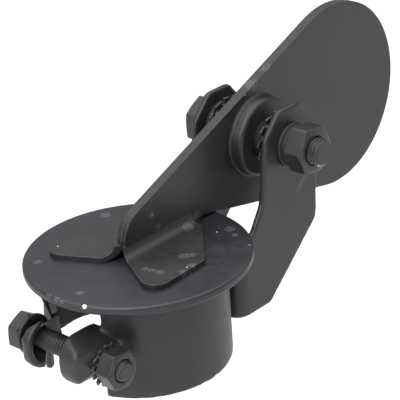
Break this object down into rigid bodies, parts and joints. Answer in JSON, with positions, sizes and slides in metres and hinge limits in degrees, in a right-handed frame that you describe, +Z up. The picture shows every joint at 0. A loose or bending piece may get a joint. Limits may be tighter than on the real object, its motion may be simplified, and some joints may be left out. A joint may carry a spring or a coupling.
{
  "type": "exhaust rain cap",
  "caption": "Hinged rain cap for an upright exhaust pipe: split clamp collar, U bracket and a round lid on a counterweighted arm.",
  "frame": {"origin": "on the pipe axis at the collar's lower edge", "axes": "+Z up along the pipe, +X from the clamp towards the hinge, +Y to the bolt heads"},
  "size_m": [0.1527, 0.0636, 0.0773],
  "materials": {
    "painted_sheet": "satin black paint over sheet steel",
    "painted_lid": "satin black paint over sheet steel",
    "painted_fastener": "black paint over zinc plated steel",
    "painted_washer": "black paint over zinc plated steel",
    "painted_weld": "black paint over a weld bead",
    "bare_sleeve": "blackened steel tube"
  },
  "bodies": {
    "clamp": {"clamp_collar": "painted_sheet", "hinge_bracket": "painted_sheet", "bracket_weld_left": "painted_weld", "bracket_weld_right": "painted_weld", "clamp_bolt": "painted_fastener", "clamp_head_washer": "painted_washer", "clamp_lock_washer": "painted_washer", "clamp_nut": "painted_fastener", "pivot_bolt": "painted_fastener", "pivot_head_washer": "painted_washer", "pivot_outer_washer": "painted_washer", "pivot_lock_washer": "painted_washer", "pivot_nut": "painted_fastener", "hinge_tooth_washer_left": "painted_washer", "hinge_tooth_washer_right": "painted_washer", "hinge_thrust_washer_left": "painted_washer", "hinge_thrust_washer_right": "painted_washer"},
    "flap": {"lid_disc": "painted_lid", "arm_leaf_left": "painted_sheet", "arm_leaf_right": "painted_sheet", "pivot_sleeve": "bare_sleeve"}
  },
  "joints": [
    {"name": "flap_hinge", "type": "hinge", "parent": "clamp", "child": "flap", "pos_m": [0.0506, 0, 0.0491], "axis": [0, 1, 0], "range_deg": [0, 82]}
  ]
}
